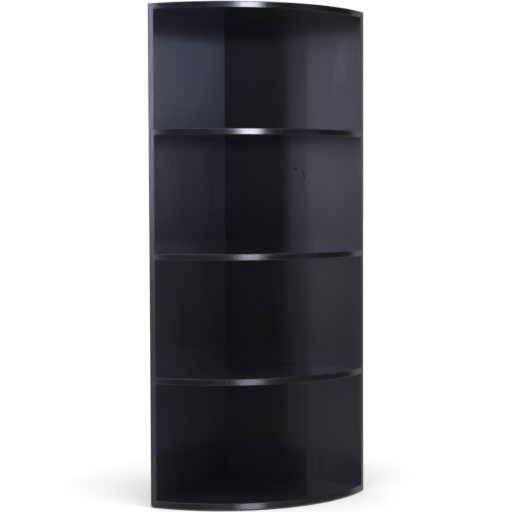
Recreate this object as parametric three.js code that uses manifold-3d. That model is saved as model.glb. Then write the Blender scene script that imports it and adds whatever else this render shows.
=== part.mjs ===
// Quarter-round corner shelf unit, built from 15 mm wood-effect board.
//
// Frame: millimetres, +Z up. Z = 0 is the floor under the glides, and X = Y = 0 is the middle of the
// square footprint. The left panel stands along -X with its face to the left wall, the right panel
// stands along +Y with its face to the back wall, and the shelves open towards +X / -Y.
//
// Construction: two full-height panels meet at the wall corner in a butt joint (left panel runs past,
// right panel ends against it). Five quarter-circle shelves stand between them: the top and bottom
// ones are flush with the panel ends. Each shelf is held at each panel by two 7 x 50 connector screws
// driven in from the wall side and by one 8 x 30 wooden dowel. Every cut edge that shows carries a
// separate edge band, and five nail-on glides keep the boards off the floor.
import * as THREE from "three";
import { mergeVertices } from "three/addons/utils/BufferGeometryUtils.js";
import Module from "manifold-3d";

// ---- driving dimensions (mm) ----
const T = 15; // board thickness, panels and shelves
const R = 380; // shelf radius, measured from the inner corner line
const BOARD_H = 1200; // height of the panels
const GLIDE_H = 3; // glide thickness, lifts the boards off the floor
const N_SHELF = 5; // shelves, top and bottom ones included
const BAND_SHELF = 2.0; // thick edge band on the curved fronts
const BAND_PANEL = 2.0; // thick edge band on the panel fronts
const BAND_TAPE = 0.5; // thin tape on the panel tops and the rear edge
const GLUE = 0.05; // glue line behind a band
const ARC_STEPS = 48; // facets along a shelf front

const SCREW_FROM_FRONT = 60; // shelf screw nearest the open front, from the shelf's arc end
const SCREW_FROM_CORNER = 70; // shelf screw nearest the corner
const HEAD_D = 9.6, HEAD_H = 3.6, SHANK_D = 6.6, THREAD_D = 6.4, SCREW_L = 50, SHANK_L = 13;
const HEX_AF = 4, HEX_DEPTH = 2.6;
const HEAD_SINK = 0.4; // head sits this far under the panel face
const BORE_HEAD_D = 10.2, BORE_SHANK_D = 7.2, BORE_PILOT_D = 7.0;
const DOWEL_D = 8, DOWEL_L = 30, DOWEL_BORE_D = 8.6, DOWEL_IN_PANEL = 10;

// ---- derived ----
const W = R + T; // 395 overall, each way
const X0 = -W / 2 + T; // inner face of the left panel
const Y0 = W / 2 - T; // inner face of the right panel
const Z0 = GLIDE_H; // underside of the boards
const PITCH = (BOARD_H - T) / (N_SHELF - 1); // shelf to shelf
const shelfZ = Array.from({ length: N_SHELF }, (_, i) => Z0 + BOARD_H - T - i * PITCH); // undersides, top first

const wasm = await Module();
wasm.setup();

// A closed three.js geometry as a solid.
function solid(geometry, matrix) {
  let g = geometry.index ? geometry.toNonIndexed() : geometry.clone();
  if (matrix) g.applyMatrix4(matrix);
  g.deleteAttribute("normal");
  g.deleteAttribute("uv");
  g = mergeVertices(g, 1e-4);
  return new wasm.Manifold(
    new wasm.Mesh({
      numProp: 3,
      vertProperties: new Float32Array(g.attributes.position.array),
      triVerts: new Uint32Array(g.index.array),
    }),
  );
}

// A solid as a three.js geometry again.
function geometryOf(s) {
  const m = s.getMesh();
  const v = new Float32Array(m.numVert * 3);
  for (let i = 0; i < m.numVert; i++)
    for (let k = 0; k < 3; k++) v[i * 3 + k] = m.vertProperties[i * m.numProp + k];
  const g = new THREE.BufferGeometry()
    .setAttribute("position", new THREE.BufferAttribute(v, 3))
    .setIndex(new THREE.BufferAttribute(new Uint32Array(m.triVerts), 1));
  g.computeVertexNormals();
  return g;
}

// A box between two corners.
function box(x0, y0, z0, x1, y1, z1) {
  return new THREE.BoxGeometry(x1 - x0, y1 - y0, z1 - z0).translate((x0 + x1) / 2, (y0 + y1) / 2, (z0 + z1) / 2);
}

// A round rod from a point along a direction.
function rod(d, length, at, dir, sides = 10) {
  const g = new THREE.CylinderGeometry(d / 2, d / 2, length, sides).translate(0, length / 2, 0);
  const q = new THREE.Quaternion().setFromUnitVectors(new THREE.Vector3(0, 1, 0), dir);
  return g.applyMatrix4(new THREE.Matrix4().compose(at, q, new THREE.Vector3(1, 1, 1)));
}

// A flat slice of a round board: the ring between two radii about the inner corner, over a quarter
// turn. r0 = 0 gives the full quarter disc.
function quarter(r0, r1, z0, z1) {
  const s = new THREE.Shape();
  const p = (r, i) => {
    const a = (-Math.PI / 2) * (i / ARC_STEPS);
    return [i === ARC_STEPS ? X0 : X0 + r * Math.cos(a), i === 0 ? Y0 : Y0 + r * Math.sin(a)];
  };
  for (let i = 0; i <= ARC_STEPS; i++) i ? s.lineTo(...p(r1, i)) : s.moveTo(...p(r1, i));
  if (r0) for (let i = ARC_STEPS; i >= 0; i--) s.lineTo(...p(r0, i));
  else s.lineTo(X0, Y0);
  s.closePath();
  return new THREE.ExtrudeGeometry(s, { depth: z1 - z0, bevelEnabled: false, steps: 1 }).translate(0, 0, z0);
}

const X_DIR = new THREE.Vector3(1, 0, 0), Y_DIR = new THREE.Vector3(0, -1, 0);

// ---- where the fasteners go ----
// side "left": driven along +X through the left panel. side "right": driven along -Y through the
// right panel. seam: along +X through the left panel into the rear end of the right panel.
const fasteners = [], dowels = [];
const shelfNames = ["top_shelf", "shelf_2", "shelf_3", "shelf_4", "bottom_shelf"];
const xFar = -W / 2, yFar = W / 2;
shelfNames.forEach((name, i) => {
  const z = shelfZ[i] + T / 2;
  for (const [where, u] of [["rear", SCREW_FROM_CORNER], ["front", R - SCREW_FROM_FRONT]]) {
    fasteners.push({ name: `${name}_left_screw_${where}`, panel: "left", board: name, at: new THREE.Vector3(xFar, Y0 - u, z), dir: X_DIR });
    fasteners.push({ name: `${name}_right_screw_${where}`, panel: "right", board: name, at: new THREE.Vector3(X0 + u, yFar, z), dir: Y_DIR });
  }
  const m = (SCREW_FROM_CORNER + R - SCREW_FROM_FRONT) / 2;
  dowels.push({ name: `${name}_left_dowel`, panel: "left", board: name, at: new THREE.Vector3(X0, Y0 - m, z), dir: X_DIR });
  dowels.push({ name: `${name}_right_dowel`, panel: "right", board: name, at: new THREE.Vector3(X0 + m, Y0, z), dir: Y_DIR });
});
for (let i = 0; i < 4; i++)
  fasteners.push({ name: `corner_screw_${i + 1}`, panel: "left", board: "right_panel", at: new THREE.Vector3(xFar, Y0 + T / 2, Z0 + BOARD_H - (T + PITCH) / 2 - i * PITCH), dir: X_DIR });
for (let i = 0; i < 3; i++)
  dowels.push({ name: `corner_dowel_${i + 1}`, panel: "left", board: "right_panel", at: new THREE.Vector3(X0, Y0 + T / 2, Z0 + BOARD_H - T / 2 - (i + 1) * PITCH), dir: X_DIR });

// The bores each board needs.
function boresIn(board) {
  const cuts = [];
  const step = (v, dir, d) => v.clone().addScaledVector(dir, d);
  for (const f of fasteners) {
    if (f.panel + "_panel" === board) {
      cuts.push(rod(BORE_HEAD_D, HEAD_SINK + HEAD_H + 1.4, step(f.at, f.dir, -1), f.dir, 12));
      cuts.push(rod(BORE_SHANK_D, T + 2, step(f.at, f.dir, -1), f.dir));
    }
    if (f.board === board) cuts.push(rod(BORE_PILOT_D, SCREW_L + HEAD_SINK + 2.5 - T + 1, step(f.at, f.dir, T - 1), f.dir));
  }
  for (const d of dowels) {
    if (d.panel + "_panel" === board) cuts.push(rod(DOWEL_BORE_D, DOWEL_IN_PANEL + 0.5 + 1, step(d.at, d.dir, -DOWEL_IN_PANEL - 0.5), d.dir));
    if (d.board === board) cuts.push(rod(DOWEL_BORE_D, DOWEL_L - DOWEL_IN_PANEL + 0.5 + 1, step(d.at, d.dir, -1), d.dir));
  }
  return cuts;
}

function drilled(geometry, board) {
  let s = solid(geometry);
  for (const c of boresIn(board)) s = s.subtract(solid(c));
  return geometryOf(s);
}

// ---- materials, as the pieces look ----
const board = new THREE.MeshStandardMaterial({ color: 0x141317, roughness: 0.38, metalness: 0 });
const band = new THREE.MeshStandardMaterial({ color: 0x17161b, roughness: 0.28, metalness: 0 });
const steel = new THREE.MeshStandardMaterial({ color: 0xb4b2ac, roughness: 0.35, metalness: 1 });
const beech = new THREE.MeshStandardMaterial({ color: 0xc7a377, roughness: 0.7, metalness: 0 });
const plastic = new THREE.MeshStandardMaterial({ color: 0x1b1a1c, roughness: 0.5, metalness: 0 });

const unit = new THREE.Group();
const add = (name, geometry, material) => {
  const m = new THREE.Mesh(geometry, material);
  m.name = name;
  unit.add(m);
  return m;
};

// ---- panels: board cores, then their bands ----
const zTop = Z0 + BOARD_H, tapeTop = zTop - BAND_TAPE - GLUE;
const frontY = -W / 2, frontX = W / 2; // front planes of the left and right panels
add("left_panel", drilled(box(-W / 2, frontY + BAND_PANEL + GLUE, Z0, X0, W / 2 - BAND_TAPE - GLUE, tapeTop), "left_panel"), board);
add("right_panel", drilled(box(X0, Y0, Z0, frontX - BAND_PANEL - GLUE, W / 2, tapeTop), "right_panel"), board);
add("left_panel_front_band", box(-W / 2, frontY, Z0, X0, frontY + BAND_PANEL, zTop), band);
add("right_panel_front_band", box(frontX - BAND_PANEL, Y0, Z0, frontX, W / 2, zTop), band);
add("left_panel_top_band", box(-W / 2, frontY + BAND_PANEL + GLUE, zTop - BAND_TAPE, X0, W / 2 - BAND_TAPE - GLUE, zTop), band);
add("right_panel_top_band", box(X0 + GLUE, Y0, zTop - BAND_TAPE, frontX - BAND_PANEL - GLUE, W / 2, zTop), band);
add("left_panel_rear_band", box(-W / 2, W / 2 - BAND_TAPE, Z0, X0, W / 2, zTop), band);

// ---- shelves and their curved front bands ----
shelfNames.forEach((name, i) => {
  add(name, drilled(quarter(0, R - BAND_SHELF - GLUE, shelfZ[i], shelfZ[i] + T), name), board);
  add(`${name}_front_band`, quarter(R - BAND_SHELF, R, shelfZ[i], shelfZ[i] + T), band);
});

// ---- connector screws: countersunk head with a hex socket, shank, threaded body with a point ----
function screwSolid() {
  const s = HEAD_SINK;
  const profile = [
    [0, s], [HEAD_D / 2, s], [HEAD_D / 2, s + 1.6], [SHANK_D / 2, s + HEAD_H], [SHANK_D / 2, s + SHANK_L],
    [THREAD_D / 2, s + SHANK_L + 0.4], [THREAD_D / 2, s + SCREW_L - 5], [0, s + SCREW_L],
  ].map(([r, y]) => new THREE.Vector2(r, y));
  const body = solid(new THREE.LatheGeometry(profile, 10));
  const socket = solid(new THREE.CylinderGeometry(HEX_AF / Math.sqrt(3), HEX_AF / Math.sqrt(3), HEX_DEPTH + 1, 6).translate(0, s + HEX_DEPTH / 2 - 0.5, 0));
  return body.subtract(socket);
}
const screwGeometry = geometryOf(screwSolid());
for (const f of fasteners) {
  const m = add(f.name, screwGeometry, steel);
  m.position.copy(f.at);
  m.quaternion.setFromUnitVectors(new THREE.Vector3(0, 1, 0), f.dir);
}

// ---- dowels with chamfered ends ----
const dowelGeometry = new THREE.LatheGeometry(
  [[0, 0], [DOWEL_D / 2 - 1, 0], [DOWEL_D / 2, 1], [DOWEL_D / 2, DOWEL_L - 1], [DOWEL_D / 2 - 1, DOWEL_L], [0, DOWEL_L]].map(([r, y]) => new THREE.Vector2(r, y)),
  10,
);
for (const d of dowels) {
  const m = add(d.name, dowelGeometry, beech);
  m.position.copy(d.at).addScaledVector(d.dir, -DOWEL_IN_PANEL);
  m.quaternion.setFromUnitVectors(new THREE.Vector3(0, 1, 0), d.dir);
}

// ---- nail-on glides: slim oblong pads under the panels, a round one under the bottom shelf ----
function oblong(length, width, alongX) {
  const s = new THREE.Shape(), r = width / 2, h = length / 2 - r;
  const n = 8;
  for (let i = 0; i <= n; i++) {
    const a = -Math.PI / 2 + (Math.PI * i) / n;
    const q = [h + r * Math.cos(a), r * Math.sin(a)];
    i ? s.lineTo(...q) : s.moveTo(...q);
  }
  for (let i = 0; i <= n; i++) {
    const a = Math.PI / 2 + (Math.PI * i) / n;
    s.lineTo(-h + r * Math.cos(a), r * Math.sin(a));
  }
  s.closePath();
  const g = new THREE.ExtrudeGeometry(s, { depth: GLIDE_H, bevelEnabled: false, steps: 1 });
  return alongX ? g : g.rotateZ(Math.PI / 2);
}
const GLIDE_W = 11, GLIDE_L = 36, GLIDE_INSET = 45;
add("left_panel_glide_front", oblong(GLIDE_L, GLIDE_W, false).translate(-W / 2 + T / 2, frontY + GLIDE_INSET, 0), plastic);
add("left_panel_glide_rear", oblong(GLIDE_L, GLIDE_W, false).translate(-W / 2 + T / 2, W / 2 - GLIDE_INSET, 0), plastic);
add("right_panel_glide_rear", oblong(GLIDE_L, GLIDE_W, true).translate(X0 + GLIDE_INSET, W / 2 - T / 2, 0), plastic);
add("right_panel_glide_front", oblong(GLIDE_L, GLIDE_W, true).translate(frontX - GLIDE_INSET, W / 2 - T / 2, 0), plastic);
const gx = (R - 45) * Math.SQRT1_2;
add("bottom_shelf_glide", new THREE.CylinderGeometry(10, 10, GLIDE_H, 20).rotateX(Math.PI / 2).translate(X0 + gx, Y0 - gx, GLIDE_H / 2), plastic);

export default unit;
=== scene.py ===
import math
import random

import bmesh
import bpy
from mathutils import Matrix, Vector


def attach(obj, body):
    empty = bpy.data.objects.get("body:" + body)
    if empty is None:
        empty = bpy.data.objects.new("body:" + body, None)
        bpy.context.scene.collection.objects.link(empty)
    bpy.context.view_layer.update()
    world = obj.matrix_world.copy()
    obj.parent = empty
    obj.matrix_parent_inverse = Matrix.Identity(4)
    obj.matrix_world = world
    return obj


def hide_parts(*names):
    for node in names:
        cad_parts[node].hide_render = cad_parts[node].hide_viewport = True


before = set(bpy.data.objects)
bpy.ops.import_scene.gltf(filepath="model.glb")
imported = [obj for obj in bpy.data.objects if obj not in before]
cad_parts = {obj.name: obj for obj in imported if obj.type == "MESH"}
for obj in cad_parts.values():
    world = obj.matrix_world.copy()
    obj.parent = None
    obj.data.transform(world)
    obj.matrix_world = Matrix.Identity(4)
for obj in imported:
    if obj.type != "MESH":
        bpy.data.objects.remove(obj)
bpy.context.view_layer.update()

# ------------------------------------------------------------------------------------------------
# Sizes, in metres, as the frame has them.
MM = 0.001
T = 15 * MM
R = 380 * MM
H = 1200 * MM
W = R + T
Z0 = 3 * MM
X0 = -W / 2 + T
Y0 = W / 2 - T
PITCH = (H - T) / 4
SHELVES = ["top_shelf", "shelf_2", "shelf_3", "shelf_4", "bottom_shelf"]
SHELF_Z = {n: Z0 + H - T - i * PITCH for i, n in enumerate(SHELVES)}
BAND = 2 * MM  # shelf and panel front bands
TAPE = 0.5 * MM
GLUE = 0.05 * MM
ARRIS = 1.4 * MM  # rounding of the thick bands' outer corners
ARC = 160  # segments along a curved front

scene = bpy.context.scene


# ------------------------------------------------------------------------------------------------
# Node helpers
class Nodes:
    """Builds a node tree by short calls."""

    def __init__(self, tree):
        self.t = tree
        self.n = tree.nodes
        self.n.clear()

    def new(self, kind, **props):
        node = self.n.new(kind)
        for k, v in props.items():
            setattr(node, k, v)
        return node

    def link(self, a, b):
        self.t.links.new(a, b)

    def put(self, socket, v):
        if isinstance(v, bpy.types.NodeSocket):
            self.link(v, socket)
        else:
            socket.default_value = v

    def math(self, op, a, b=0.0, c=0.0, clamp=False):
        m = self.new("ShaderNodeMath", operation=op, use_clamp=clamp)
        for s, v in zip(m.inputs, (a, b, c)):
            self.put(s, v)
        return m.outputs[0]

    def smooth(self, v, lo, hi, to_lo=0.0, to_hi=1.0):
        m = self.new("ShaderNodeMapRange", interpolation_type="SMOOTHSTEP", clamp=True)
        for s, x in zip(m.inputs, (v, lo, hi, to_lo, to_hi)):
            self.put(s, x)
        return m.outputs[0]

    def ramp(self, v, lo, hi, to_lo=0.0, to_hi=1.0):
        m = self.new("ShaderNodeMapRange", clamp=True)
        for s, x in zip(m.inputs, (v, lo, hi, to_lo, to_hi)):
            self.put(s, x)
        return m.outputs[0]

    def noise(self, vec, scale=1.0, detail=2.0, rough=0.5, distort=0.0):
        m = self.new("ShaderNodeTexNoise")
        self.put(m.inputs["Vector"], vec)
        m.inputs["Scale"].default_value = scale
        m.inputs["Detail"].default_value = detail
        m.inputs["Roughness"].default_value = rough
        m.inputs["Distortion"].default_value = distort
        return m.outputs[0]

    def stretched(self, vec, x, y, z, at=(0, 0, 0)):
        m = self.new("ShaderNodeMapping")
        self.put(m.inputs["Vector"], vec)
        m.inputs["Scale"].default_value = (x, y, z)
        m.inputs["Location"].default_value = at
        return m.outputs[0]

    def mix(self, f, a, b):
        m = self.new("ShaderNodeMix", data_type="RGBA")
        self.put(m.inputs[0], f)
        for s, c in ((m.inputs[6], a), (m.inputs[7], b)):
            self.put(s, (*c, 1) if isinstance(c, tuple) and len(c) == 3 else c)
        return m.outputs[2]

    def bump(self, height, strength, distance, normal=None):
        m = self.new("ShaderNodeBump")
        m.inputs["Strength"].default_value = strength
        m.inputs["Distance"].default_value = distance
        self.put(m.inputs["Height"], height)
        if normal is not None:
            self.link(normal, m.inputs["Normal"])
        return m.outputs[0]


def material(name):
    m = bpy.data.materials.new(name)
    m.use_nodes = True
    k = Nodes(m.node_tree)
    out = k.new("ShaderNodeOutputMaterial")
    p = k.new("ShaderNodeBsdfPrincipled")
    k.link(p.outputs[0], out.inputs["Surface"])
    at = k.new("ShaderNodeTexCoord").outputs["Object"]
    return m, k, p, at


# ------------------------------------------------------------------------------------------------
# Materials
def melamine(name, grain, shift=(0, 0, 0), rough=0.15, dark=(0.0070, 0.0066, 0.0087), light=(0.0160, 0.0152, 0.0196), lean=(0.0, 0.0), ior=1.8, raised=()):
    """Black wood-effect melamine. grain is the axis that the grain runs along.

    lean is the slope, along X and Y, of a board that stands a little out of true: it only turns the reflections.
    raised is a list of areas (x0, x1, z0, z1) in mm where the thin lines of the grain stand out."""
    m, k, p, at = material(name)
    xyz = k.new("ShaderNodeSeparateXYZ")
    k.link(at, xyz.inputs[0])

    def along(fine, long):
        s = [fine] * 3
        s["XYZ".index(grain)] = long
        return k.stretched(at, *s, at=shift)

    board = k.noise(along(16, 1.6), detail=3, rough=0.55, distort=0.6)  # wide light and dark bands
    streak = k.noise(along(150, 3.2), detail=6, rough=0.62, distort=0.35)  # grain lines, 3 to 8 mm apart
    fibre = k.noise(along(1100, 22), detail=3, rough=0.55)  # fine fibre
    pores = k.noise(along(1500, 42), detail=1.5, rough=0.4, distort=0.2)
    pore = k.smooth(pores, 0.62, 0.70)
    lines = k.noise(along(330, 5.5), detail=1, rough=0.5, distort=0.15)
    patch = k.smooth(k.noise(along(14, 4.5), detail=1), 0.45, 0.58, 0.0, 0.35)
    close = None
    for x0, x1, z0, z1 in raised:
        area = k.math("MULTIPLY", k.smooth(xyz.outputs[0], (x0 - 5) * MM, (x0 + 5) * MM), k.smooth(xyz.outputs[0], (x1 - 5) * MM, (x1 + 5) * MM, 1.0, 0.0))
        area = k.math("MULTIPLY", area, k.smooth(xyz.outputs[2], (z0 - 14) * MM, (z0 + 14) * MM))
        area = k.math("MULTIPLY", area, k.smooth(xyz.outputs[2], (z1 - 14) * MM, (z1 + 14) * MM, 1.0, 0.0))
        close = area if close is None else k.math("MAXIMUM", close, area)
    vein = k.math("MULTIPLY", k.smooth(lines, 0.56, 0.65), patch)  # sparse thin lines, in groups
    if close is not None:
        fine = k.noise(along(360, 8), detail=1, rough=0.5, distort=0.1)
        vein = k.math("MAXIMUM", vein, k.math("MULTIPLY", k.smooth(fine, 0.53, 0.60), close))
    tone = k.math("ADD", k.math("MULTIPLY", board, 0.45), k.math("MULTIPLY", streak, 0.55))
    tone = k.ramp(tone, 0.36, 0.64)
    tone = k.math("SUBTRACT", tone, k.math("MULTIPLY", pore, 0.45), clamp=True)
    ground = k.mix(tone, dark, light)
    k.link(k.mix(k.math("MULTIPLY", vein, 0.45), ground, (0.0240, 0.0232, 0.0292)), p.inputs["Base Color"])
    r = k.math("ADD", rough, k.math("MULTIPLY", k.math("SUBTRACT", streak, 0.5), 0.08))
    smear = k.noise(k.stretched(at, 9, 9, 9), detail=2, rough=0.5)
    r = k.math("ADD", r, k.math("MULTIPLY", k.math("SUBTRACT", smear, 0.5), 0.03))
    r = k.math("ADD", r, k.math("MULTIPLY", vein, 0.045))
    r = k.math("ADD", r, k.math("MULTIPLY", pore, 0.05), clamp=True)
    k.link(r, p.inputs["Roughness"])
    # the board's flatness: a slow wave, and the lean
    warp = k.noise(k.stretched(at, 5.5, 5.5, 5.5, at=shift), detail=1, rough=0.4)
    warp = k.math("MULTIPLY", warp, 0.0006)
    for axis, slope in enumerate(lean):
        if slope:
            warp = k.math("ADD", warp, k.math("MULTIPLY", xyz.outputs[axis], slope))
    flat = k.bump(warp, 1.0, 1.0)
    groove = k.noise(along(120, 2.2), detail=1.5, rough=0.5, distort=0.3)
    h = k.math("ADD", k.math("MULTIPLY", groove, 1.6), k.math("MULTIPLY", fibre, 0.12))
    h = k.math("SUBTRACT", h, k.math("MULTIPLY", pore, 0.25))
    h = k.math("SUBTRACT", h, k.math("MULTIPLY", vein, 1.0))
    k.link(k.bump(h, 0.07, 0.00022, flat), p.inputs["Normal"])
    p.inputs["IOR"].default_value = ior
    return m


def band_material(name, grain, rough=0.17):
    """Black ABS edge band with a faint printed grain: smoother than the board faces."""
    m, k, p, at = material(name)
    if grain == "Z":
        fine, wide = k.stretched(at, 1500, 1500, 18), k.stretched(at, 210, 210, 4)
    else:
        fine, wide = k.stretched(at, 18, 18, 1500), k.stretched(at, 4, 4, 210)
    line = k.noise(fine, detail=3, rough=0.6)
    streak = k.noise(wide, detail=4, rough=0.6, distort=0.3)
    speck = k.noise(k.stretched(at, 420, 420, 420), detail=2, rough=0.5)
    tone = k.ramp(k.math("ADD", k.math("MULTIPLY", line, 0.4), k.math("MULTIPLY", streak, 0.6)), 0.36, 0.64)
    k.link(k.mix(tone, (0.006, 0.0058, 0.0072), (0.014, 0.0134, 0.0165)), p.inputs["Base Color"])
    r = k.math("ADD", rough, k.math("MULTIPLY", k.math("SUBTRACT", streak, 0.5), 0.12))
    r = k.math("ADD", r, k.math("MULTIPLY", k.smooth(speck, 0.56, 0.7), 0.16), clamp=True)
    k.link(r, p.inputs["Roughness"])
    ripple = k.noise(k.stretched(at, 85, 85, 26), detail=2, rough=0.5)
    h = k.math("ADD", k.math("MULTIPLY", line, 0.35), k.math("MULTIPLY", speck, 0.4))
    n = k.bump(ripple, 0.10, 0.0009)
    k.link(k.bump(h, 0.25, 0.00012, n), p.inputs["Normal"])
    p.inputs["IOR"].default_value = 1.5
    return m


def chipboard(name):
    """Raw particle board on the edges that have no band."""
    m, k, p, at = material(name)
    v = k.new("ShaderNodeTexVoronoi", feature="F1")
    k.link(k.stretched(at, 420, 420, 900), v.inputs["Vector"])
    v.inputs["Scale"].default_value = 1.0
    v.inputs["Randomness"].default_value = 1.0
    sep = k.new("ShaderNodeSeparateColor")
    k.link(v.outputs["Color"], sep.inputs[0])
    dust = k.noise(k.stretched(at, 1600, 1600, 1600), detail=3, rough=0.7)
    f = k.math("ADD", k.math("MULTIPLY", sep.outputs[0], 0.7), k.math("MULTIPLY", dust, 0.3))
    k.link(k.mix(f, (0.20, 0.118, 0.058), (0.52, 0.37, 0.21)), p.inputs["Base Color"])
    p.inputs["Roughness"].default_value = 0.92
    h = k.math("ADD", v.outputs["Distance"], k.math("MULTIPLY", dust, 0.5))
    k.link(k.bump(h, 0.5, 0.0006), p.inputs["Normal"])
    return m


def zinc(name):
    m, k, p, at = material(name)
    grit = k.noise(k.stretched(at, 900, 900, 900), detail=3, rough=0.6)
    cloud = k.noise(k.stretched(at, 160, 160, 160), detail=2, rough=0.5)
    k.link(k.mix(cloud, (0.40, 0.405, 0.41), (0.62, 0.61, 0.585)), p.inputs["Base Color"])
    p.inputs["Metallic"].default_value = 1.0
    k.link(k.ramp(grit, 0.3, 0.7, 0.24, 0.42), p.inputs["Roughness"])
    k.link(k.bump(grit, 0.18, 0.00012), p.inputs["Normal"])
    return m


def beech(name, axis):
    m, k, p, at = material(name)
    s = [1400] * 3
    s["XYZ".index(axis)] = 60
    g = k.noise(k.stretched(at, *s), detail=4, rough=0.6, distort=0.3)
    fleck = k.smooth(k.noise(k.stretched(at, *[x * 1.6 for x in s]), detail=1), 0.6, 0.7)
    tone = k.math("SUBTRACT", k.ramp(g, 0.3, 0.7), k.math("MULTIPLY", fleck, 0.4), clamp=True)
    k.link(k.mix(tone, (0.40, 0.24, 0.115), (0.66, 0.47, 0.27)), p.inputs["Base Color"])
    k.link(k.ramp(g, 0.3, 0.7, 0.62, 0.8), p.inputs["Roughness"])
    k.link(k.bump(g, 0.35, 0.0002), p.inputs["Normal"])
    return m


def moulded(name):
    m, k, p, at = material(name)
    spark = k.noise(k.stretched(at, 1700, 1700, 1700), detail=2, rough=0.6)
    cloud = k.noise(k.stretched(at, 60, 60, 60), detail=2)
    k.link(k.mix(cloud, (0.011, 0.011, 0.012), (0.022, 0.022, 0.024)), p.inputs["Base Color"])
    k.link(k.ramp(spark, 0.3, 0.7, 0.42, 0.6), p.inputs["Roughness"])
    k.link(k.bump(spark, 0.4, 0.00015), p.inputs["Normal"])
    return m


MAT_PANEL_L = melamine("black_melamine_left", "Z", (3.1, 0.7, 0.2), rough=0.125, lean=(0.0, 0.048), ior=2.0)
MAT_PANEL_R = melamine("black_melamine_right", "Z", (7.7, 5.2, 1.4), lean=(0.019, 0.0), raised=((126, 178, 1032, 1140), (36, 62, 752, 852)))
# the same boards' outer faces lean the other way
MAT_PANEL_L_OUT = melamine("black_melamine_left_outer", "Z", (5.4, 2.9, 6.2), rough=0.15, lean=(0.0, -0.048))
MAT_PANEL_R_OUT = melamine("black_melamine_right_outer", "Z", (0.9, 8.3, 3.6), rough=0.15, lean=(-0.019, 0.0))
MAT_SHELF = melamine("black_melamine_shelf", "X", (1.3, 9.2, 4.4), rough=0.115)
MAT_BAND_CURVED = band_material("black_band_curved", "XY")
MAT_BAND_UPRIGHT = band_material("black_band_upright", "Z")
MAT_CHIP = chipboard("raw_chipboard")
MAT_ZINC = zinc("zinc_plated_steel")
MAT_BEECH_X = beech("beech_along_x", "X")
MAT_BEECH_Y = beech("beech_along_y", "Y")
MAT_PLASTIC = moulded("moulded_black_plastic")


# ------------------------------------------------------------------------------------------------
# Mesh helpers
def finish_mesh(bm, name, mats, sharp=32.0, weighted=True):
    """A named object from a bmesh, smooth shaded with hard edges kept."""
    bmesh.ops.remove_doubles(bm, verts=bm.verts, dist=1e-7)
    bmesh.ops.recalc_face_normals(bm, faces=bm.faces)
    for f in bm.faces:
        f.smooth = True
    for e in bm.edges:
        if len(e.link_faces) == 2 and e.calc_face_angle(0) > math.radians(sharp):
            e.smooth = False
    me = bpy.data.meshes.new(name)
    bm.to_mesh(me)
    bm.free()
    for m in mats:
        me.materials.append(m)
    o = bpy.data.objects.new(name, me)
    scene.collection.objects.link(o)
    if weighted:
        w = o.modifiers.new("weighted_normals", "WEIGHTED_NORMAL")
        w.mode = "FACE_AREA"
        w.weight = 100
        w.keep_sharp = True
    return o


def stand_in(o, node):
    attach(o, "root")
    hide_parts(node)
    return o


def rounded_rect(w, h, corners, seg=5):
    """Outline of a rectangle from (0, 0) to (w, h), with a radius for each corner in the order (0,0), (w,0), (w,h), (0,h)."""
    pts = []
    for (cx, cy, sx, sy, a0), r in zip(((0, 0, 1, 1, 180), (w, 0, -1, 1, 270), (w, h, -1, -1, 0), (0, h, 1, -1, 90)), corners):
        if r <= 0:
            pts.append((cx, cy))
            continue
        for i in range(seg + 1):
            a = math.radians(a0 + 90 * i / seg)
            pts.append((cx + sx * r + r * math.cos(a), cy + sy * r + r * math.sin(a)))
    return pts


def loft(rings, closed_ends=True):
    """Skins equal closed rings of points into a closed body."""
    bm = bmesh.new()
    rows = [[bm.verts.new(p) for p in ring] for ring in rings]
    n = len(rows[0])
    for a, b in zip(rows, rows[1:]):
        for i in range(n):
            j = (i + 1) % n
            bm.faces.new((a[i], a[j], b[j], b[i]))
    if closed_ends:
        bm.faces.new(list(reversed(rows[0])))
        bm.faces.new(rows[-1])
    return bm


def fine_cut(o, cutters, inner_mat):
    """Takes the cutters out of o, and gives the new faces the inner material."""
    if not cutters:
        return o
    bm = bmesh.new()
    for c in cutters:
        bm.from_mesh(c)
        bpy.data.meshes.remove(c)
    me = bpy.data.meshes.new("cutter")
    bm.to_mesh(me)
    bm.free()
    me.materials.append(inner_mat)
    c = bpy.data.objects.new("cutter", me)
    scene.collection.objects.link(c)
    mod = o.modifiers.new("bores", "BOOLEAN")
    mod.operation = "DIFFERENCE"
    mod.solver = "EXACT"
    mod.material_mode = "TRANSFER"
    mod.object = c
    dg = bpy.context.evaluated_depsgraph_get()
    out = bpy.data.meshes.new_from_object(o.evaluated_get(dg))
    o.modifiers.clear()
    old = o.data
    o.data = out
    bpy.data.meshes.remove(old)
    bpy.data.objects.remove(c)
    bpy.data.meshes.remove(me)
    return o


def lathe(profile, seg=32):
    """A closed body turned about +Y: profile is (radius, y) from the axis to the axis."""
    bm = bmesh.new()
    rows = []
    for r, y in profile:
        if r < 1e-9:
            rows.append([bm.verts.new((0, y, 0))])
        else:
            rows.append([bm.verts.new((r * math.cos(2 * math.pi * i / seg), y, r * math.sin(2 * math.pi * i / seg))) for i in range(seg)])
    for a, b in zip(rows, rows[1:]):
        for i in range(seg):
            j = (i + 1) % seg
            q = [a[i % len(a)], a[j % len(a)], b[j % len(b)], b[i % len(b)]]
            q = [v for n, v in enumerate(q) if v not in q[:n]]
            if len(q) > 2:
                bm.faces.new(q)
    bmesh.ops.recalc_face_normals(bm, faces=bm.faces)
    return bm


def to_mesh(bm, name, matrix=None):
    me = bpy.data.meshes.new(name)
    bm.to_mesh(me)
    bm.free()
    if matrix is not None:
        me.transform(matrix)
    return me


def aim(at, direction):
    """Matrix that carries +Y onto a direction at a point."""
    q = Vector((0, 1, 0)).rotation_difference(Vector(direction))
    return Matrix.Translation(at) @ q.to_matrix().to_4x4()


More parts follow.
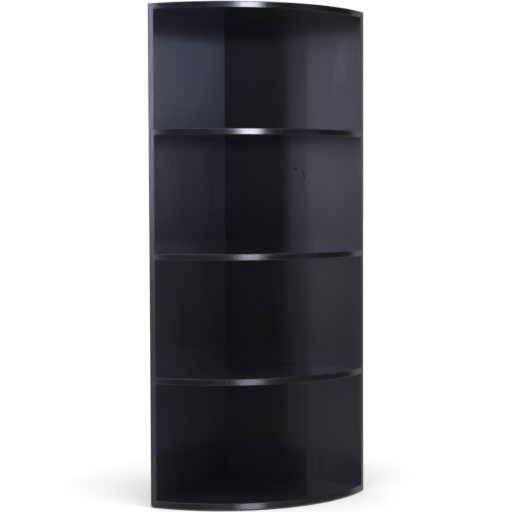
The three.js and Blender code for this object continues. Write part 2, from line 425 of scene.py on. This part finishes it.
# ------------------------------------------------------------------------------------------------
# Fasteners: the same places as in the frame
SCREWS, DOWELS = [], []
XD, YD = Vector((1, 0, 0)), Vector((0, -1, 0))
for name in SHELVES:
    z = SHELF_Z[name] + T / 2
    for where, u in (("rear", 70 * MM), ("front", R - 60 * MM)):
        SCREWS.append((f"{name}_left_screw_{where}", "left_panel", name, Vector((-W / 2, Y0 - u, z)), XD))
        SCREWS.append((f"{name}_right_screw_{where}", "right_panel", name, Vector((X0 + u, W / 2, z)), YD))
    u = (70 * MM + R - 60 * MM) / 2
    DOWELS.append((f"{name}_left_dowel", "left_panel", name, Vector((X0, Y0 - u, z)), XD))
    DOWELS.append((f"{name}_right_dowel", "right_panel", name, Vector((X0 + u, Y0, z)), YD))
for i in range(4):
    SCREWS.append((f"corner_screw_{i + 1}", "left_panel", "right_panel", Vector((-W / 2, Y0 + T / 2, Z0 + H - (T + PITCH) / 2 - i * PITCH)), XD))
for i in range(3):
    DOWELS.append((f"corner_dowel_{i + 1}", "left_panel", "right_panel", Vector((X0, Y0 + T / 2, Z0 + H - T / 2 - (i + 1) * PITCH)), XD))


def cutters(board):
    cuts = []
    for _, panel, into, at, d in SCREWS:
        if panel == board:  # countersunk bore right through the panel
            prof = [(0, -1), (5.15, -1), (5.15, 0.0), (5.1, 1.9), (3.65, 4.1), (3.65, 16), (0, 16)]
            cuts.append(to_mesh(lathe([(r * MM, y * MM) for r, y in prof], 32), "cut", aim(at, d)))
        if into == board:  # pilot bore into the board's edge
            prof = [(0, 14.5), (3.55, 14.5), (3.55, 52), (0, 53.5)]
            cuts.append(to_mesh(lathe([(r * MM, y * MM) for r, y in prof], 24), "cut", aim(at, d)))
    for _, panel, into, at, d in DOWELS:
        if panel == board:
            prof = [(0, -10.5), (4.3, -10.5), (4.3, 1), (0, 1)]
            cuts.append(to_mesh(lathe([(r * MM, y * MM) for r, y in prof], 20), "cut", aim(at, d)))
        if into == board:
            prof = [(0, -1), (4.3, -1), (4.3, 20.5), (0, 20.5)]
            cuts.append(to_mesh(lathe([(r * MM, y * MM) for r, y in prof], 20), "cut", aim(at, d)))
    return cuts


# ------------------------------------------------------------------------------------------------
# Panels
def panel(name, lo, hi, mats, bare, outer):
    """A board core with its arrises just eased. bare(normal) and outer(normal) tell which faces are raw chipboard and which are the outer side."""
    bm = bmesh.new()
    bmesh.ops.create_cube(bm, size=1.0)
    size = [b - a for a, b in zip(lo, hi)]
    for v in bm.verts:
        v.co = Vector([a + (c + 0.5) * s for a, c, s in zip(lo, v.co, size)])
    # loops along the height keep the shading even
    bmesh.ops.bevel(bm, geom=list(bm.edges), offset=0.25 * MM, offset_type="OFFSET", segments=2, profile=0.5, affect="EDGES")
    for f in bm.faces:
        f.material_index = 1 if bare(f.normal) else 2 if outer(f.normal) else 0
    o = finish_mesh(bm, name + "_board", [mats[0], MAT_CHIP, mats[1]])
    o.modifiers.clear()
    fine_cut(o, cutters(name), MAT_CHIP)
    w = o.modifiers.new("weighted_normals", "WEIGHTED_NORMAL")
    w.mode, w.weight, w.keep_sharp = "FACE_AREA", 100, True
    return stand_in(o, name)


ZT = Z0 + H
panel("left_panel", (-W / 2, -W / 2 + BAND + GLUE, Z0), (X0, W / 2 - TAPE - GLUE, ZT - TAPE - GLUE), (MAT_PANEL_L, MAT_PANEL_L_OUT), lambda n: n.z < -0.9, lambda n: n.x < -0.9)
panel("right_panel", (X0, Y0, Z0), (W / 2 - BAND - GLUE, W / 2, ZT - TAPE - GLUE), (MAT_PANEL_R, MAT_PANEL_R_OUT), lambda n: n.z < -0.9 or n.x < -0.9, lambda n: n.y > 0.9)


def upright_band(name, x, y, facing):
    """A 2 mm band on a panel's front: facing is '-Y' or '+X'. Its two outer arrises are rounded over."""
    prof = rounded_rect(T, BAND, (ARRIS, ARRIS, 0.08 * MM, 0.08 * MM), 6)  # outer side at v = 0
    rings = []
    ends = [(0.0, 0.22 * MM), (0.1 * MM, 0.06 * MM), (0.25 * MM, 0.0)]
    stops = [(Z0 + dz, inset) for dz, inset in ends] + [(ZT - dz, inset) for dz, inset in reversed(ends)]
    cu, cv = T / 2, BAND / 2
    for z, inset in stops:
        ring = []
        for u, v in prof:
            uu = cu + (u - cu) * (1 - inset / cu)
            vv = cv + (v - cv) * (1 - inset / cv)
            ring.append((x + uu, y + vv, z) if facing == "-Y" else (x - vv, y + uu, z))
        rings.append(ring)
    o = finish_mesh(loft(rings), name + "_strip", [MAT_BAND_UPRIGHT])
    return stand_in(o, name)


upright_band("left_panel_front_band", -W / 2, -W / 2, "-Y")
upright_band("right_panel_front_band", W / 2, Y0, "+X")


def tape(name, lo, hi, up, mat):
    """A thin tape with its outer arrises eased. up is the outward axis index and sign."""
    bm = bmesh.new()
    bmesh.ops.create_cube(bm, size=1.0)
    size = [b - a for a, b in zip(lo, hi)]
    for v in bm.verts:
        v.co = Vector([a + (c + 0.5) * s for a, c, s in zip(lo, v.co, size)])
    axis, sign = up
    edge = hi[axis] if sign > 0 else lo[axis]
    outer = [e for e in bm.edges if all(abs(v.co[axis] - edge) < 1e-6 for v in e.verts)]
    bmesh.ops.bevel(bm, geom=outer, offset=0.3 * MM, offset_type="OFFSET", segments=3, profile=0.5, affect="EDGES")
    o = finish_mesh(bm, name + "_strip", [mat])
    return stand_in(o, name)


tape("left_panel_top_band", (-W / 2, -W / 2 + BAND + GLUE, ZT - TAPE), (X0, W / 2 - TAPE - GLUE, ZT), (2, 1), MAT_BAND_CURVED)
tape("right_panel_top_band", (X0 + GLUE, Y0, ZT - TAPE), (W / 2 - BAND - GLUE, W / 2, ZT), (2, 1), MAT_BAND_CURVED)
tape("left_panel_rear_band", (-W / 2, W / 2 - TAPE, Z0), (X0, W / 2, ZT), (1, 1), MAT_BAND_UPRIGHT)


# ------------------------------------------------------------------------------------------------
# Shelves
def arc_point(r, i, n=ARC):
    a = -math.pi / 2 * i / n
    x = X0 if i == n else X0 + r * math.cos(a)
    y = Y0 if i == 0 else Y0 + r * math.sin(a)
    return x, y


def shelf_core(name):
    z0 = SHELF_Z[name]
    z1 = z0 + T
    r = R - BAND - GLUE
    e = 0.2 * MM  # eased arris of the laminate

    def outline(inset, z):
        pts = [(X0 + inset, Y0 - inset, z)]
        for i in range(ARC + 1):
            x, y = arc_point(r - inset, i)
            x, y = max(x, X0 + inset), min(y, Y0 - inset)
            pts.append((x, y, z))
        return pts

    rings = [outline(e, z0), outline(e * 0.3, z0 + e * 0.3), outline(0, z0 + e), outline(0, z1 - e), outline(e * 0.3, z1 - e * 0.3), outline(e, z1)]
    bm = loft(rings)
    bm.normal_update()
    for f in bm.faces:
        f.material_index = 1 if abs(f.normal.z) < 0.3 else 0
    o = finish_mesh(bm, name + "_board", [MAT_SHELF, MAT_CHIP])
    o.modifiers.clear()
    fine_cut(o, cutters(name), MAT_CHIP)
    w = o.modifiers.new("weighted_normals", "WEIGHTED_NORMAL")
    w.mode, w.weight, w.keep_sharp = "FACE_AREA", 100, True
    return stand_in(o, name)


def shelf_band(name):
    z0 = SHELF_Z[name]
    # section: u from the inner side of the band (0) to its outer side (BAND), v up
    prof = rounded_rect(BAND, T, (0.08 * MM, ARRIS, ARRIS, 0.08 * MM), 6)
    rings = []
    for i in range(ARC + 1):
        ring = []
        for u, v in prof:
            x, y = arc_point(R - BAND + u, i)
            ring.append((x, y, z0 + v))
        rings.append(ring)
    o = finish_mesh(loft(rings), name + "_front_strip", [MAT_BAND_CURVED])
    return stand_in(o, name + "_front_band")


for n in SHELVES:
    shelf_core(n)
    shelf_band(n)


# ------------------------------------------------------------------------------------------------
# Connector screws: flat countersunk head with a hex socket, plain shank, coarse thread, blunt point
def screw_mesh():
    seg = 36
    s = 0.4
    bm = bmesh.new()

    def circle(r, y):
        return [bm.verts.new((r * MM * math.cos(2 * math.pi * i / seg), y * MM, r * MM * math.sin(2 * math.pi * i / seg))) for i in range(seg)]

    def hexagon(af, y, k=1.0):
        out = []
        for i in range(seg):
            a = 2 * math.pi * i / seg
            t = (a + math.pi / 6) % (math.pi / 3) - math.pi / 6
            r = af / 2 / math.cos(t) * k
            out.append(bm.verts.new((r * MM * math.cos(a), y * MM, r * MM * math.sin(a))))
        return out

    rows = [hexagon(4.0, s + 2.6), hexagon(4.0, s + 0.35), hexagon(4.35, s + 0.0)]
    rows += [circle(4.45, s + 0.0), circle(4.7, s + 0.08), circle(4.8, s + 0.3), circle(4.8, s + 1.35), circle(4.72, s + 1.6), circle(3.3, s + 3.5)]
    rows += [circle(3.3, s + 13.0)]
    floor = bm.faces.new(rows[0])
    for a, b in zip(rows, rows[1:]):
        for i in range(seg):
            j = (i + 1) % seg
            bm.faces.new((a[i], a[j], b[j], b[i]))
    # threaded body: a helical ridge on a core, as a wrapped grid
    pitch, core, crest = 3.0, 2.35, 3.3
    y0, y1 = s + 13.4, s + 47.0
    per = 8
    n = int((y1 - y0) / pitch * per)

    def ridge(f):
        f = f % 1.0
        d = min(f, 1 - f) * 2  # 0 at the crest, 1 midway
        return max(0.0, 1 - d / 0.42)

    grid = []
    for k in range(n + 1):
        y = y0 + (y1 - y0) * k / n
        fade = min(1.0, k / per, (n - k) / (per * 1.5))
        row = []
        for i in range(seg):
            h = ridge((y / pitch) - i / seg)
            r = core + (crest - core) * h * fade
            if y > y1 - 4:
                r *= 1 - 0.28 * ((y - (y1 - 4)) / 4)
            row.append(bm.verts.new((r * MM * math.cos(2 * math.pi * i / seg), y * MM, r * MM * math.sin(2 * math.pi * i / seg))))
        grid.append(row)
    grid = [rows[-1]] + grid + [circle(1.2, s + 49.2), circle(0.5, s + 49.9)]
    for a, b in zip(grid, grid[1:]):
        for i in range(seg):
            j = (i + 1) % seg
            bm.faces.new((a[i], a[j], b[j], b[i]))
    bm.faces.new(grid[-1])
    bmesh.ops.recalc_face_normals(bm, faces=bm.faces)
    for f in bm.faces:
        f.smooth = True
    for e in bm.edges:
        if len(e.link_faces) == 2 and e.calc_face_angle(0) > math.radians(35):
            e.smooth = False
    return to_mesh(bm, "connector_screw")


base_screw = screw_mesh()
turn = random.Random(7)
for name, _, _, at, d in SCREWS:
    me = base_screw.copy()
    me.name = name
    me.transform(aim(at, d) @ Matrix.Rotation(turn.uniform(0, math.pi / 3), 4, "Y"))
    me.materials.append(MAT_ZINC)
    o = bpy.data.objects.new(name + "_detail", me)
    scene.collection.objects.link(o)
    stand_in(o, name)


# ------------------------------------------------------------------------------------------------
# Fluted dowels with chamfered ends
def dowel_mesh():
    seg, flutes = 60, 15
    bm = bmesh.new()
    rows = []
    for y, k in ((0, 0.74), (1.1, 0.985), (1.3, 1.0), (28.7, 1.0), (28.9, 0.985), (30, 0.74)):
        row = []
        for i in range(seg):
            a = 2 * math.pi * i / seg
            r = 4.0 * k
            if 1.0 <= y <= 29.0:
                r -= 0.22 * (0.5 + 0.5 * math.cos(a * flutes)) ** 2
            row.append(bm.verts.new((r * MM * math.cos(a), y * MM, r * MM * math.sin(a))))
        rows.append(row)
    for a, b in zip(rows, rows[1:]):
        for i in range(seg):
            j = (i + 1) % seg
            bm.faces.new((a[i], a[j], b[j], b[i]))
    bm.faces.new(rows[0])
    bm.faces.new(rows[-1])
    bmesh.ops.recalc_face_normals(bm, faces=bm.faces)
    for f in bm.faces:
        f.smooth = len(f.verts) == 4
    for e in bm.edges:
        if len(e.link_faces) == 2 and e.calc_face_angle(0) > math.radians(38):
            e.smooth = False
    return to_mesh(bm, "dowel")


base_dowel = dowel_mesh()
for name, _, _, at, d in DOWELS:
    me = base_dowel.copy()
    me.name = name
    me.transform(aim(at + d * (-10 * MM), d) @ Matrix.Rotation(turn.uniform(0, math.pi), 4, "Y"))
    me.materials.append(MAT_BEECH_X if abs(d.x) > 0.5 else MAT_BEECH_Y)
    o = bpy.data.objects.new(name + "_detail", me)
    scene.collection.objects.link(o)
    stand_in(o, name)
bpy.data.meshes.remove(base_screw)
bpy.data.meshes.remove(base_dowel)


# ------------------------------------------------------------------------------------------------
# Nail-on glides: a pad with its floor edge rolled over, and a nail head sunk in the middle
def glide(name, cx, cy, length, width, turned):
    seg = 24
    half = max(0.0, length / 2 - width / 2)

    def outline(r, z, h=None):
        h = half if h is None else h
        pts = []
        for i in range(2 * seg):
            a = -math.pi / 2 + math.pi * i / seg
            sx = h if i < seg else -h
            # the two half rounds meet the straight sides
            a2 = -math.pi / 2 + math.pi * (i if i < seg else i - seg) / (seg - 1) + (0 if i < seg else math.pi)
            pts.append((sx + r * math.cos(a2), r * math.sin(a2), z))
        return pts

    w = width / 2
    e = 0.8 * MM
    prof = [(w - 0.1 * MM, 3.0 * MM), (w, 2.9 * MM), (w, e)]
    for i in range(1, 7):
        a = math.pi / 2 * i / 6
        prof.append((w - e + e * math.cos(a), e - e * math.sin(a)))
    # recess for the nail
    rr = 2.9 * MM
    rings = [outline(r, z) for r, z in prof]
    rings += [outline(rr, 0.0, 0.0), outline(rr - 0.15 * MM, 0.15 * MM, 0.0), outline(rr - 0.2 * MM, 0.95 * MM, 0.0), outline(rr - 0.45 * MM, 0.9 * MM, 0.0), outline(rr - 0.7 * MM, 0.72 * MM, 0.0)]
    if half == 0.0:
        pass
    pts = []
    for ring in rings:
        row = []
        for x, y, z in ring:
            row.append((cx - y, cy + x, z) if turned else (cx + x, cy + y, z))
        pts.append(row)
    bm = loft(pts)
    o = finish_mesh(bm, name + "_pad", [MAT_PLASTIC], sharp=40)
    return stand_in(o, name)


GW, GL, GI = 11 * MM, 36 * MM, 45 * MM
glide("left_panel_glide_front", -W / 2 + T / 2, -W / 2 + GI, GL, GW, True)
glide("left_panel_glide_rear", -W / 2 + T / 2, W / 2 - GI, GL, GW, True)
glide("right_panel_glide_rear", X0 + GI, W / 2 - T / 2, GL, GW, False)
glide("right_panel_glide_front", W / 2 - GI, W / 2 - T / 2, GL, GW, False)
gx = (R - 45 * MM) * math.sqrt(0.5)
glide("bottom_shelf_glide", X0 + gx, Y0 - gx, 20 * MM, 20 * MM, False)


# ------------------------------------------------------------------------------------------------
# Two small scuffs on the right panel, in the second compartment: a dull fleck and a short slanting rub
def dull(name):
    m, k, p, at = material(name)
    grit = k.noise(k.stretched(at, 1300, 1300, 1300), detail=3, rough=0.6)
    k.link(k.mix(grit, (0.038, 0.0365, 0.042), (0.066, 0.0635, 0.072)), p.inputs["Base Color"])
    k.link(k.ramp(grit, 0.3, 0.7, 0.45, 0.75), p.inputs["Roughness"])
    k.link(k.bump(grit, 0.3, 0.0001), p.inputs["Normal"])
    p.inputs["IOR"].default_value = 1.15
    return m


def scuff(name, line, mat):
    """A rub mark along a line of (x, z, half width), all in mm, with a ragged outline. It stands 0.03 mm proud."""
    rag = random.Random(len(line) * 31)
    side_a, side_b = [], []
    for i, (x, z, w) in enumerate(line):
        xa, za, _ = line[max(i - 1, 0)]
        xb, zb, _ = line[min(i + 1, len(line) - 1)]
        d = math.hypot(xb - xa, zb - za)
        nx, nz = -(zb - za) / d, (xb - xa) / d
        wa, wb = w * rag.uniform(0.7, 1.2), w * rag.uniform(0.7, 1.2)
        side_a.append((x + nx * wa, z + nz * wa))
        side_b.append((x - nx * wb, z - nz * wb))
    outline = side_a + side_b[::-1]
    rings = [[(x * MM, y, z * MM) for x, z in outline] for y in (Y0 + 0.02 * MM, Y0 - 0.03 * MM)]
    o = finish_mesh(loft(rings), name, [mat], weighted=False)
    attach(o, "root")
    return o


MAT_SCUFF = dull("dull_rub_mark")
scuff("scuff_fleck", [(12.0, 816.2, 0.5), (15.5, 815.0, 1.6), (19.0, 814.2, 3.0), (22.5, 814.0, 2.6), (26.0, 814.6, 0.8)], MAT_SCUFF)
scuff("scuff_rub", [(36.5, 821.0, 0.3), (37.3, 815.0, 0.7), (38.6, 809.0, 0.9), (40.3, 803.0, 1.3), (42.0, 798.0, 1.9), (43.2, 794.0, 1.6), (44.2, 790.5, 0.5)], MAT_SCUFF)


# ------------------------------------------------------------------------------------------------
# Floor
def floor():
    m, k, p, at = material("pale_floor")
    cloud = k.noise(k.stretched(at, 0.7, 0.7, 0.7), detail=3, rough=0.5)
    k.link(k.mix(cloud, (0.90, 0.90, 0.90), (0.93, 0.93, 0.93)), p.inputs["Base Color"])
    p.inputs["Roughness"].default_value = 0.8
    p.inputs["Specular IOR Level"].default_value = 0.0
    bm = bmesh.new()
    bmesh.ops.create_grid(bm, x_segments=4, y_segments=4, size=30)
    me = to_mesh(bm, "floor")
    me.materials.append(m)
    o = bpy.data.objects.new("floor", me)
    scene.collection.objects.link(o)
    o.visible_glossy = False
    return o


floor()

# ------------------------------------------------------------------------------------------------
# Camera, solved from the photograph's vanishing lines
cam_data = bpy.data.cameras.new("camera")
cam_data.sensor_fit = "HORIZONTAL"
cam_data.sensor_width = 36.0
cam_data.lens = 1429.58 / 512 * 36.0
cam_data.clip_start, cam_data.clip_end = 0.05, 100
cam = bpy.data.objects.new("camera", cam_data)
scene.collection.objects.link(cam)
yaw, pitch, roll = 3.5781, -0.0465, -0.0035
fwd_fit = Vector((math.cos(yaw) * math.cos(pitch), math.sin(yaw) * math.cos(pitch), math.sin(pitch)))
right_fit = Vector((math.sin(yaw), -math.cos(yaw), 0))


def from_fit(v):
    """From the solver's axes (along the left panel, along the right panel, up) to the frame's."""
    return Vector((v.y, -v.x, v.z))


fwd = from_fit(fwd_fit)
# the solver's handedness is turned by its own axes; the frame's right follows from forward and up
right = fwd.cross(Vector((0, 0, 1))).normalized()
up = right.cross(fwd).normalized()
r2 = right * math.cos(roll) + up * math.sin(roll)
u2 = -right * math.sin(roll) + up * math.cos(roll)
eye = Vector((-182.5 + 1653.60, 182.5 - 3354.51, 759.20 + 3.0)) * MM
cam.matrix_world = Matrix.Translation(eye) @ Matrix((r2, u2, -fwd)).transposed().to_4x4()
cam_data.shift_x = 0.0
cam_data.shift_y = 0.23 / 512
scene.camera = cam

# ------------------------------------------------------------------------------------------------
# Studio: white surround, with soft boxes that the gloss picks up
world = bpy.data.worlds.new("studio")
scene.world = world
world.use_nodes = True
world.cycles.sampling_method = "NONE"
k = Nodes(world.node_tree)
direction = k.new("ShaderNodeTexCoord").outputs["Generated"]
sep = k.new("ShaderNodeSeparateXYZ")
k.link(direction, sep.inputs[0])
az = k.math("ARCTAN2", sep.outputs[1], sep.outputs[0])
az = k.math("MULTIPLY", az, 180 / math.pi)
el = k.math("MULTIPLY", k.math("ARCSINE", sep.outputs[2]), 180 / math.pi)


def softbox(centre, half, soft, e0, e1, s0, s1):
    """1 inside a box of directions, falling off smoothly at its sides, foot and head. Degrees."""
    d = k.math("SUBTRACT", az, centre)
    d = k.math("WRAP", d, 180.0, -180.0)
    d = k.math("ABSOLUTE", d)
    side = k.smooth(d, half - soft / 2, half + soft / 2, 1.0, 0.0)
    low = k.smooth(el, e0 - s0 / 2, e0 + s0 / 2)
    high = k.smooth(el, e1 - s1 / 2, e1 + s1 / 2, 1.0, 0.0)
    return k.math("MULTIPLY", k.math("MULTIPLY", side, low), high)


LIGHTS = [
    # centre, half width, soft sides, foot, head, soft foot, soft head, strength, colour
    (-44.8, 7.9, 8.0, -0.2, 9.8, 2.0, 2.5, 29.0, (0.93, 0.95, 1.12)),  # front soft box
    (-45.1, 8.6, 6.0, -31.0, 0.0, 6.0, 2.0, 3.8, (0.98, 0.89, 1.13)),  # its picture in the floor
    (-45.1, 8.4, 5.0, -31.0, -10.0, 6.0, 6.0, 2.2, (0.98, 0.87, 1.15)),
    (-124.8, 4.0, 2.0, 0.0, 24.0, 6.0, 12.0, 19.5, (0.90, 0.88, 1.22)),  # side soft box
    (-125.0, 4.0, 2.0, -30.0, 0.0, 6.0, 6.0, 2.3, (1.0, 0.93, 1.07)),  # its picture in the floor
    (-116.8, 4.5, 4.5, -1.8, 6.0, 3.0, 5.0, 0.53, (0.90, 0.87, 1.23)),  # spill beside it
    (-113.0, 8.0, 3.0, -30.0, 16.0, 8.0, 8.0, 0.14, (0.98, 0.92, 1.10)),
    (-70.0, 5.5, 3.0, -30.0, 12.0, 8.0, 8.0, 0.17, (0.92, 0.90, 1.18)),  # dim room behind the camera
    (-70.0, 5.0, 4.0, 1.5, 35.0, 3.0, 10.0, 0.50, (0.78, 0.87, 1.35)),
    (-90.0, 7.0, 6.0, -5.0, 30.0, 12.0, 12.0, 0.26, (0.94, 0.94, 1.12)),  # dim room square to each panel
    (2.0, 9.0, 8.0, -5.0, 30.0, 12.0, 12.0, 0.26, (0.94, 0.94, 1.12)),
    (82.0, 30.0, 6.0, -14.0, 40.0, 8.0, 10.0, 0.57, (0.96, 0.96, 1.08)),  # far side
]
total = None
for *box, power, tint in LIGHTS:
    b = k.math("MULTIPLY", softbox(*box), power)
    v = k.new("ShaderNodeVectorMath", operation="SCALE")
    v.inputs[0].default_value = tint
    k.link(b, v.inputs["Scale"])
    if total is None:
        total = v.outputs[0]
    else:
        a = k.new("ShaderNodeVectorMath", operation="ADD")
        k.link(total, a.inputs[0])
        k.link(v.outputs[0], a.inputs[1])
        total = a.outputs[0]
base = k.smooth(el, -18, -10, 0.70, 0.03)
v = k.new("ShaderNodeVectorMath", operation="SCALE")
v.inputs[0].default_value = (0.95, 0.97, 1.0)
k.link(base, v.inputs["Scale"])
a = k.new("ShaderNodeVectorMath", operation="ADD")
k.link(total, a.inputs[0])
k.link(v.outputs[0], a.inputs[1])
env = a.outputs[0]
AMBIENT = 0.35
path = k.new("ShaderNodeLightPath")
surround = k.mix(path.outputs["Is Glossy Ray"], (AMBIENT, AMBIENT, AMBIENT), env)
surround = k.mix(path.outputs["Is Camera Ray"], surround, (1.02, 1.02, 1.02))
bg = k.new("ShaderNodeBackground")
k.link(surround, bg.inputs["Color"])
bg.inputs["Strength"].default_value = 1.0
out = k.new("ShaderNodeOutputWorld")
k.link(bg.outputs[0], out.inputs["Surface"])

# overhead light: wide and soft, for the floor and the shelf tops
sun_data = bpy.data.lights.new("overhead", "SUN")
sun_data.energy = 3.0
sun_data.angle = math.radians(70)
sun = bpy.data.objects.new("overhead", sun_data)
scene.collection.objects.link(sun)
sun.location = (0, 0, 4)
sun.rotation_euler = Vector((-0.12, 0.25, -1)).to_track_quat("-Z", "Y").to_euler()


def soft_panel(name, centre, width, height, radiance, tint):
    """A near soft box beside the camera, facing the unit, that only the gloss picks up."""
    d = bpy.data.lights.new(name, "AREA")
    d.shape = "RECTANGLE"
    d.size, d.size_y = width, height
    d.energy = radiance * math.pi * width * height
    d.color = tint
    o = bpy.data.objects.new(name, d)
    scene.collection.objects.link(o)
    o.location = centre
    o.rotation_euler = Vector((-centre[0] - 0.06, 0.18 - centre[1], 0)).to_track_quat("-Z", "Y").to_euler()
    o.visible_camera = False
    o.visible_diffuse = False


soft_panel("near_softbox_upper", (1.13, -1.70, 1.31), 0.44, 0.52, 3.3, (0.72, 0.85, 1.43))
soft_panel("near_softbox_lower", (1.13, -1.70, 0.83), 0.44, 0.44, 0.62, (0.60, 0.80, 1.60))


scene.view_settings.view_transform = "Standard"
scene.view_settings.look = "None"
scene.view_settings.exposure = 0.0
scene.view_settings.gamma = 1.0
